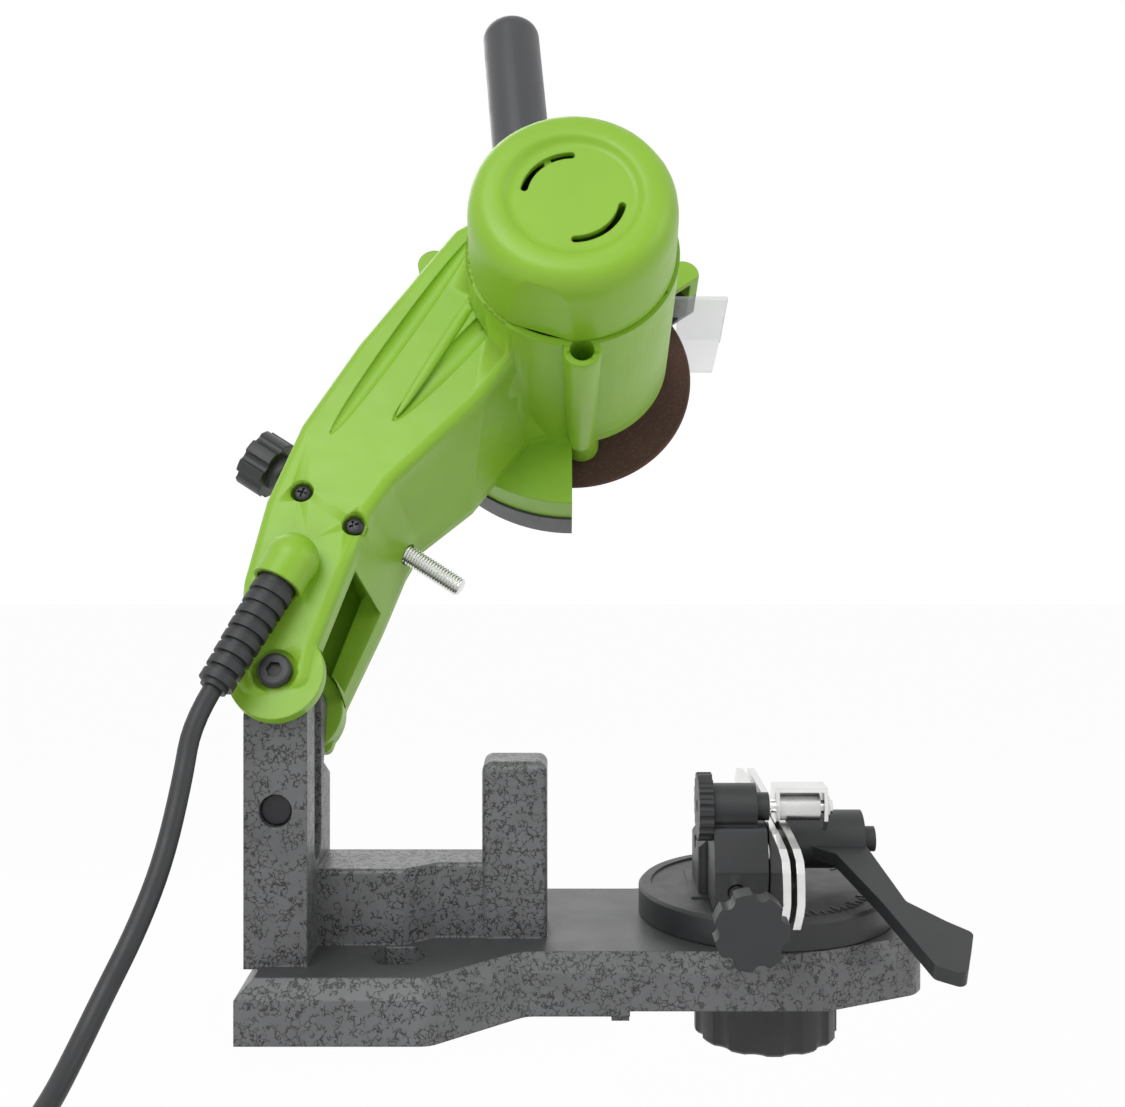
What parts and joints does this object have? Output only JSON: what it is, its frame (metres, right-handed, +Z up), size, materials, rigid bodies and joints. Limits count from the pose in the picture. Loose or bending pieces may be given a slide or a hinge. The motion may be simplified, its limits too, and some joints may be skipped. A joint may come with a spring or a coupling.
{
  "type": "chainsaw sharpener",
  "caption": "Bench-mounted electric saw-chain sharpener: sprung motor arm with guarded grinding disc over a turntable chain vise.",
  "frame": {"origin": "midway between the two bench bolt holes, on the face that lies on the bench", "axes": "+X along the bench edge towards the turntable, +Y away from the operator, +Z up"},
  "size_m": [0.3709, 0.4348, 0.443],
  "materials": {
    "cast_grey": "hammered dark grey paint on cast iron",
    "green_plastic": "moulded, satin gloss",
    "black_plastic": "moulded, fine grain",
    "red_plastic": "moulded",
    "grey_plastic": "moulded, dark grey",
    "black_steel": "blackened steel",
    "handle_rubber": "dark satin",
    "clear_plastic": "clear polycarbonate",
    "cord_rubber": "satin",
    "abrasive": "vitrified abrasive grain",
    "alloy": "die cast, satin",
    "zinc_steel": "zinc plated",
    "lamination": "stacked laminations",
    "copper": "enamelled copper",
    "carbon": "carbon",
    "brass": "turned"
  },
  "bodies": {
    "root": {"base_casting": "cast_grey", "pivot_pin": "zinc_steel", "pivot_cap": "black_steel", "pivot_washer": "zinc_steel", "pivot_nut": "zinc_steel", "spring_screw": "black_steel", "return_spring": "zinc_steel", "cord_lead": "cord_rubber", "cord_coil": "cord_rubber", "plug": "cord_rubber", "plug_pins": "brass"},
    "arm": {"near_shell": "green_plastic", "far_shell": "green_plastic", "motor_cover": "green_plastic", "handle_grip": "handle_rubber", "handle_stud": "zinc_steel", "stator": "lamination", "front_bearing": "zinc_steel", "rear_bearing": "zinc_steel", "brush_holders": "black_plastic", "carbon_brushes": "carbon", "housing_screws": "black_steel", "wheel_cover": "grey_plastic", "cover_screws": "zinc_steel", "visor": "clear_plastic", "strain_relief": "cord_rubber", "depth_insert": "brass", "switch_frame": "black_plastic"},
    "spindle": {"armature_shaft": "zinc_steel", "armature_core": "lamination", "armature_winding": "copper", "commutator": "copper", "cooling_fan": "black_plastic", "inner_flange": "alloy", "grinding_wheel": "abrasive", "outer_flange": "alloy", "arbor_nut": "zinc_steel"},
    "depth_bolt": {"depth_bolt": "zinc_steel"},
    "depth_knob": {"depth_knob": "black_plastic"},
    "switch_rocker": {"switch_rocker": "red_plastic"},
    "table": {"turntable": "black_plastic", "table_stud": "zinc_steel", "vise_block": "black_plastic", "fixed_rail": "zinc_steel", "rail_screws": "zinc_steel", "clamp_screw": "zinc_steel", "lever_cap": "black_steel"},
    "lock_knob": {"lock_knob": "black_plastic"},
    "clamp_lever": {"clamp_lever": "black_plastic"},
    "moving_rail": {"moving_rail": "zinc_steel"},
    "stop_carriage": {"stop_holder": "black_plastic", "stop_axle": "zinc_steel", "axle_clip": "zinc_steel"},
    "star_knob": {"star_knob": "black_plastic", "star_screw": "zinc_steel"},
    "stop_bracket": {"stop_bracket": "zinc_steel", "stop_sleeve": "zinc_steel"},
    "stop_dial": {"stop_dial": "black_plastic"}
  },
  "joints": [
    {"name": "arm_swing", "type": "hinge", "parent": "root", "child": "arm", "pos_m": [-0.0431, -0.01912, 0.11637], "axis": [0, 0.9063, -0.4226], "range_deg": [0, 48.5], "stiffness_Nm_per_rad": 3, "springref_deg": -51.57, "deforming": ["return_spring", "cord_lead"]},
    {"name": "wheel_spin", "type": "hinge", "parent": "arm", "child": "spindle", "pos_m": [0.06442, 0.06947, 0.25429], "axis": [0, -0.9063, 0.4226], "continuous": true},
    {"name": "depth_travel", "type": "slide", "parent": "arm", "child": "depth_bolt", "axis": [-0.8339, 0.2333, 0.5002], "range_m": [-0.00375, 0.00375]},
    {"name": "depth_turn", "type": "hinge", "parent": "depth_bolt", "child": "depth_knob", "pos_m": [-0.06381, 0.04412, 0.2023], "axis": [-0.8339, 0.2333, 0.5002], "range_deg": [-1080, 1080]},
    {"name": "switch_rock", "type": "hinge", "parent": "arm", "child": "switch_rocker", "pos_m": [-0.01236, 0.05276, 0.19007], "axis": [-0.8339, 0.2333, 0.5002], "range_deg": [-5, 5]},
    {"name": "table_turn", "type": "hinge", "parent": "root", "child": "table", "pos_m": [0.1423, 0.0213, 0.022], "axis": [0, 0, 1], "range_deg": [-35, 35]},
    {"name": "lock_turn", "type": "hinge", "parent": "table", "child": "lock_knob", "pos_m": [0.1423, 0.0213, -0.012], "axis": [0, 0, 1], "range_deg": [-180, 180]},
    {"name": "lever_turn", "type": "hinge", "parent": "table", "child": "clamp_lever", "pos_m": [0.18, 0.0213, 0.0511], "axis": [-1, 0, 0], "range_deg": [0, 45]},
    {"name": "rail_close", "type": "slide", "parent": "table", "child": "moving_rail", "axis": [1, 0, 0], "range_m": [0, 0.0006]},
    {"name": "stop_travel", "type": "slide", "parent": "table", "child": "stop_carriage", "axis": [0, 1, 0], "range_m": [-0.0075, 0.0025]},
    {"name": "star_turn", "type": "hinge", "parent": "stop_carriage", "child": "star_knob", "pos_m": [0.1257, -0.066, 0.0425], "axis": [0, -1, 0], "range_deg": [-900, 2700]},
    {"name": "bracket_flip", "type": "hinge", "parent": "stop_carriage", "child": "stop_bracket", "pos_m": [0.14, -0.0118, 0.072], "axis": [1, 0, 0], "range_deg": [0, 75], "stiffness_Nm_per_rad": 0.002, "springref_deg": -45.84},
    {"name": "dial_turn", "type": "hinge", "parent": "stop_carriage", "child": "stop_dial", "pos_m": [0.1146, -0.0118, 0.072], "axis": [1, 0, 0], "range_deg": [-150, 150]}
  ],
  "couplings": [
    {"joint": "depth_turn", "follows": "depth_travel", "rad_per_m": 5026.5},
    {"joint": "lever_turn", "follows": "rail_close", "rad_per_m": 1308.9},
    {"joint": "star_turn", "follows": "stop_travel", "rad_per_m": -6283}
  ]
}
